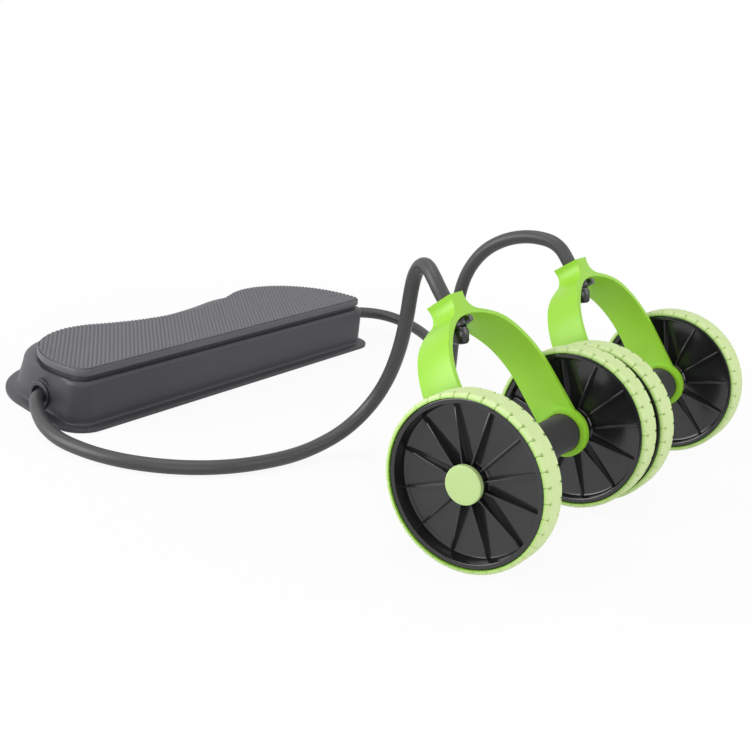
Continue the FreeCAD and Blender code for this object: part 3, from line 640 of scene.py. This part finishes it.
def makeStopper(side):
    size = stopperSet
    lean = math.radians(size["lean"][side])
    up = Vector((0, math.sin(lean), math.cos(lean)))
    pieces = []
    for part, along in (("collar", -up), ("plug", Vector(size["hang"]))):
        source = turned(part, size[part], size["steps"])
        place = Matrix.Translation(middle(side + "_grip_sleeve") + up * size[part + "Start"] / 1000)
        turn = along.to_track_quat("X", "Z").to_matrix().to_4x4()
        pieces.append(copyAt(source, f"{side}_{part}", place @ turn))
        discard(source)
    stopper = joined(pieces[0], pieces[1:])
    stopper.name = side + "_stopper_skin"
    smooth(stopper)
    return stopper


def makeYokes():
    for side in sides:
        yoke = softened(side + "_yoke", side + "_yoke_skin", yokeSet["edge"])
        settle(yoke, side + "_yoke_arm", side + "_yoke", finish["yoke"])
        stopper = makeStopper(side)
        settle(stopper, side + "_yoke_arm", side + "_tube_stopper", finish["stopper"])
    print("yokes done")


# foot base: plan outlines, front edge measured from the flange's, y then shifted by frontShift
planSet = {
    "cornerX": 196, "frontShift": 86, "counts": (5, 12, 5, 36, 20),
    "flange": {"front": 0, "corner": 24, "lobeX": 111, "lobeY": 71, "lobe": 96, "waist": 158},
    "wall": {"front": 8.6, "corner": 15.4, "lobeX": 111, "lobeY": 61.5, "lobe": 87, "waist": 138},
    "platform": {"front": 13, "corner": 11, "lobeX": 128, "lobeY": 36.5, "lobe": 79.5, "waist": 91},
}


def inset(plan, depth):
    return {**plan, "front": plan["front"] + depth, "corner": plan["corner"] - depth,
            "lobe": plan["lobe"] - depth, "waist": plan["waist"] - depth}


def between(first, second, share):
    return {word: first[word] + share * (second[word] - first[word]) for word in first}


def ray(angle):
    return Vector((math.cos(angle), math.sin(angle)))


def outline(plan):  # front line, corner arc, end line, lobe arc and waist arc, then mirrored
    corner = Vector((planSet["cornerX"], plan["front"] + plan["corner"]))
    lobe = Vector((plan["lobeX"], plan["lobeY"]))
    apart = lobe - corner
    end = math.atan2(apart.y, apart.x) - math.acos((plan["corner"] - plan["lobe"]) / apart.length)
    end = (end + math.pi) % (2 * math.pi) - math.pi
    dip = plan["waist"] - plan["lobeY"]
    bow = (lobe.x ** 2 + dip ** 2 - plan["lobe"] ** 2) / (2 * (plan["lobe"] - dip))
    waist = Vector((0, plan["waist"] + bow))
    meet = math.atan2(waist.y - lobe.y, -lobe.x)
    waistStart = math.atan2(lobe.y - waist.y, lobe.x)
    cornerEnd = corner + plan["corner"] * ray(end)
    lobeStart = lobe + plan["lobe"] * ray(end)
    front, bend, side, swell, hollow = planSet["counts"]
    half = [Vector((i / front * corner.x, plan["front"])) for i in range(front)]
    down = -math.pi / 2
    half += [corner + plan["corner"] * ray(down + i / bend * (end - down)) for i in range(bend)]
    half += [cornerEnd.lerp(lobeStart, i / side) for i in range(side)]
    half += [lobe + plan["lobe"] * ray(end + i / swell * (meet - end)) for i in range(swell)]
    half += [waist + bow * ray(waistStart + i / hollow * (down - waistStart)) for i in range(hollow)]
    half += [Vector((0, plan["waist"]))]
    points = half + [Vector((-p.x, p.y)) for p in half[-2:0:-1]]
    return [(p.x, p.y - planSet["frontShift"]) for p in points]


def lofted(name, levels):  # one circle a level, drawn onto its outline, then bridged in pairs
    rings = [outline(plan) for plan, z in levels]
    count = len(rings[0])
    circle = {"vertices": count, "radius": startSize}
    piece = fresh(name, bpy.ops.mesh.primitive_circle_add, **circle)
    edit(piece)
    for level in levels[1:]:
        bpy.ops.mesh.primitive_circle_add(**circle)
    leave()
    for number, (ring, (plan, z)) in enumerate(zip(rings, levels)):
        for i, (x, y) in enumerate(ring):
            piece.data.vertices[number * count + i].co = mm(x, y, z)
    edit(piece)
    for number in range(len(levels) - 1):
        choose(piece, lambda vertex: vertex.index // count in (number, number + 1))
        bpy.ops.mesh.bridge_edge_loops()
    for number in (0, len(levels) - 1):  # both ends closed
        choose(piece, lambda vertex: vertex.index // count == number)
        bpy.ops.mesh.edge_face_add()
    leave()
    return piece


shellSet = {
    # how far inside the flange's outline, and how high: from underneath, over its edge, to the wall
    "flangeLevels": [(12, 2.8), (12, 0), (0.9, 0), (0.25, 0.25), (0, 0.9), (0, 2.8), (0.25, 3.4), (0.9, 3.7),
                     (7.2, 3.75), (8.3, 4.1), (9.1, 5.2)],
    "wallInset": 9, "wallFoot": 3.7, "wallTop": 30, "wallShares": (0.15, 0.4, 0.7, 1.0),
    "shoulderRise": 12.2, "shoulderInset": -1.5, "rampSteps": 12, "rampPower": 1.3, "filletFrom": 37.5,
    "grooveInset": 2.5, "grooveSink": 0.4, "grooveTop": 46,
    "pad": [(186, 9.1), (186, 13.6), (202.4, 13.6), (203.4, 13.3), (204, 12.6), (204, 9.1), (186, 9.1)],
    "padHole": (-20, 17.5), "padSteps": 64, "crease": 40,
}


def shellLevels():
    size = shellSet
    flange, wall = planSet["flange"], planSet["wall"]
    shoulder = inset(planSet["platform"], size["shoulderInset"])
    shoulderTop = size["wallTop"] + size["shoulderRise"]
    levels = [(inset(flange, depth), z) for depth, z in size["flangeLevels"]]
    foot = inset(flange, size["wallInset"])
    for share in size["wallShares"]:
        z = size["wallFoot"] + share * (size["wallTop"] - size["wallFoot"])
        levels.append((between(foot, wall, share), z))
    for number in range(1, size["rampSteps"] + 1):  # a ramp at the back, a tighter rounded edge at the front
        angle = number / size["rampSteps"] * math.pi / 2
        z = size["wallTop"] + size["shoulderRise"] * math.sin(angle)
        plan = between(wall, shoulder, 1 - max(math.cos(angle), 0) ** size["rampPower"])
        rise = max(z - size["filletFrom"], 0) / (shoulderTop - size["filletFrom"])
        front = between(wall, shoulder, 1 - math.sqrt(max(1 - rise ** 2, 0)))
        levels.append(({**plan, "front": front["front"], "corner": front["corner"]}, z))
    groove = inset(planSet["platform"], size["grooveInset"])
    return levels + [(groove, shoulderTop - size["grooveSink"]), (groove, size["grooveTop"])]


def makeShell():
    size = shellSet
    shell = lofted("base_shell_skin", shellLevels())
    closeUp(shell, size["crease"])
    pad = turned("pad", size["pad"], size["padSteps"])
    place = Matrix.Translation(mm(0, *size["padHole"]))
    pads = [copyAt(pad, "pad_copy", place @ Matrix.Rotation(turn, 4, "Z")) for turn in (0, math.pi)]
    discard(pad)
    shell = joined(shell, pads)
    smooth(shell, size["crease"])
    settle(shell, "base", "base_shell", finish["base"])


platformSet = {
    "top": 52, "crease": 40,
    # how far inside the platform's outline, and how high above the groove or the top
    "footLevels": [(0.9, 0), (0.25, 0.25), (0, 0.9)],
    "edgeLevels": [(0, -0.9), (0.25, -0.25), (0.8, 0), (1.05, -0.1), (1.15, -0.9), (2.1, -0.9)],
}


def makePlatform():
    size = platformSet
    plan = planSet["platform"]
    levels = [(inset(plan, depth), shellSet["grooveTop"] + z) for depth, z in size["footLevels"]]
    levels += [(inset(plan, depth), size["top"] + z) for depth, z in size["edgeLevels"]]
    platform = lofted("foot_platform_skin", levels)
    closeUp(platform, size["crease"])
    settle(platform, "base", "foot_platform", finish["platform"])


bushSet = {"edge": 0.5}


def makeBase():
    makeShell()
    makePlatform()
    for side in sides:
        bush = softened("tube_bush_" + side, f"tube_bush_{side}_skin", bushSet["edge"])
        settle(bush, "base", "tube_bush_" + side, finish["bush"])
    print("base done")


# ribbed mat: a sheet of ribs on the diagonal, cut to the mat's outline
matSet = {
    "inset": 1.9, "top": 53.4, "pitch": 3.58, "ribs": 150, "length": 520, "turn": 45, "rise": 0.95,
    "middle": (0, -25), "facets": 6, "thick": 6, "spare": 1, "crease": 50,
    "crest": ((0.36, 0.55), (0.2, 0.37), (0.05, 0.08)),  # shares of the pitch and of the rise
}


def makeRibs():
    size = matSet
    ribs = fresh("ribs", bpy.ops.mesh.primitive_grid_add,
                 x_subdivisions=1, y_subdivisions=size["facets"], size=1)
    ribs.scale = mm(size["length"], size["pitch"], 1)
    ribs.location = mm(0, 0, size["top"] - size["rise"])
    intoMesh(ribs)
    edit(ribs)
    for width, height in size["crest"]:
        pick(ribs, lambda p: abs(p.y) < width * size["pitch"])
        move(0, 0, height * size["rise"])
    leave()
    repeated(ribs, size["ribs"], size["pitch"])
    edit(ribs)
    bpy.ops.mesh.select_all(action="SELECT")
    extrude(0, 0, -size["thick"])
    leave()
    ribs.location = mm(0, -(size["ribs"] - 1) / 2 * size["pitch"], 0)
    intoMesh(ribs)
    ribs.rotation_euler = (0, 0, math.radians(size["turn"]))
    ribs.location = mm(*size["middle"], 0)
    intoMesh(ribs)
    closeUp(ribs)
    return ribs


def makeMat():
    size = matSet
    plan = inset(planSet["platform"], size["inset"])
    ribs = makeRibs()
    low, high = platformSet["top"] - size["spare"], size["top"] + size["spare"]
    mat = lofted("foot_mat_skin", [(plan, low), (plan, high)])
    closeUp(mat)
    applied(mat, "BOOLEAN", operation="INTERSECT", object=ribs, solver="EXACT")
    discard(ribs)
    closeUp(mat, size["crease"])
    settle(mat, "base", "foot_mat", finish["mat"])
    print("mat done", len(mat.data.polygons), "faces")


# floor and light, in metres and watts
stageSet = {"white": "#ffffff", "whiteStrength": 1.0, "fillStrength": 0.38}
# white to the eye but for a faint shadow, which fades out away from the part
floorSet = {
    "size": 8, "level": -0.0006, "colour": "#e7e7e7",
    "fadeMiddle": (0.0, -0.22, 0.0), "fadeFrom": 0.25, "fadeTo": 0.75, "whiteShare": (0.92, 1.0),
}
lightSet = {
    "left": {"place": (-1.55, 1.0, 0.8), "aim": (-0.05, -0.38, 0.1), "size": 1.6, "power": 30},
    "above": {"place": (-0.2, -0.1, 2.2), "aim": (0, -0.25, 0.0), "size": 1.8, "power": 15},
    "front": {"place": (0.5, -2.1, 1.0), "aim": (0, -0.35, 0.08), "size": 1.6, "power": 14},
    "low": {"place": (-1.5, -1.5, 0.55), "aim": (0, -0.35, 0.1), "size": 1.2, "power": 8},
}


def whiteToEye(tree):  # 1 for the rays that show the background, straight or in gloss and glass
    seen = addNode(tree, "ShaderNodeLightPath")
    first = addNode(tree, "ShaderNodeMath", {"operation": "MAXIMUM"},
                    {0: seen.outputs["Is Camera Ray"], 1: seen.outputs["Is Glossy Ray"]})
    both = addNode(tree, "ShaderNodeMath", {"operation": "MAXIMUM"},
                   {0: first.outputs[0], 1: seen.outputs["Is Transmission Ray"]})
    return both.outputs[0]


def makeFloor():
    size = floorSet
    floor = fresh("floor", bpy.ops.mesh.primitive_plane_add,
                  size=size["size"], location=(0, 0, size["level"]))
    intoMesh(floor)
    material, tree = startMaterial("white studio floor")
    place = addNode(tree, "ShaderNodeTexCoord")
    away = addNode(tree, "ShaderNodeVectorMath", {"operation": "DISTANCE", 1: size["fadeMiddle"]},
                   {0: place.outputs["Object"]})
    fade = addNode(tree, "ShaderNodeMapRange",
                   {"From Min": size["fadeFrom"], "From Max": size["fadeTo"],
                    "To Min": size["whiteShare"][0], "To Max": size["whiteShare"][1]},
                   {"Value": away.outputs["Value"]})
    share = addNode(tree, "ShaderNodeMath", {"operation": "MULTIPLY"},
                    {0: whiteToEye(tree), 1: fade.outputs[0]})
    matte = addNode(tree, "ShaderNodeBsdfDiffuse", {"Color": linear(size["colour"])})
    glow = addNode(tree, "ShaderNodeEmission",
                   {"Color": linear(stageSet["white"]), "Strength": stageSet["whiteStrength"]})
    mixed = addNode(tree, "ShaderNodeMixShader",
                    links={0: share.outputs[0], 1: matte.outputs[0], 2: glow.outputs[0]})
    addNode(tree, "ShaderNodeOutputMaterial", links={"Surface": mixed.outputs[0]})
    wear(floor, material)


def makeLights():
    for name, values in lightSet.items():
        lamp = bpy.data.lights.new(name, "AREA")
        lamp.shape = "DISK"
        lamp.size = values["size"]
        lamp.energy = values["power"]
        holder = bpy.data.objects.new(name, lamp)
        holder.location = values["place"]
        aim = Vector(values["aim"]) - Vector(values["place"])
        holder.rotation_euler = aim.to_track_quat("-Z", "Y").to_euler()
        bpy.context.scene.collection.objects.link(holder)
    world = bpy.data.worlds.new("studio")
    bpy.context.scene.world = world
    world.use_nodes = True
    tree = world.node_tree
    tree.nodes.clear()
    white = linear(stageSet["white"])
    fill = addNode(tree, "ShaderNodeBackground", {"Color": white, "Strength": stageSet["fillStrength"]})
    plain = addNode(tree, "ShaderNodeBackground", {"Color": white, "Strength": stageSet["whiteStrength"]})
    mixed = addNode(tree, "ShaderNodeMixShader",
                    links={0: whiteToEye(tree), 1: fill.outputs[0], 2: plain.outputs[0]})
    addNode(tree, "ShaderNodeOutputWorld", links={"Surface": mixed.outputs[0]})
    print("floor and light set")


makeTubes()
makeWheels()
makeGrips()
makeYokes()
makeBase()
makeMat()
makeFloor()
makeLights()
bpy.context.scene.view_settings.view_transform = "Standard"
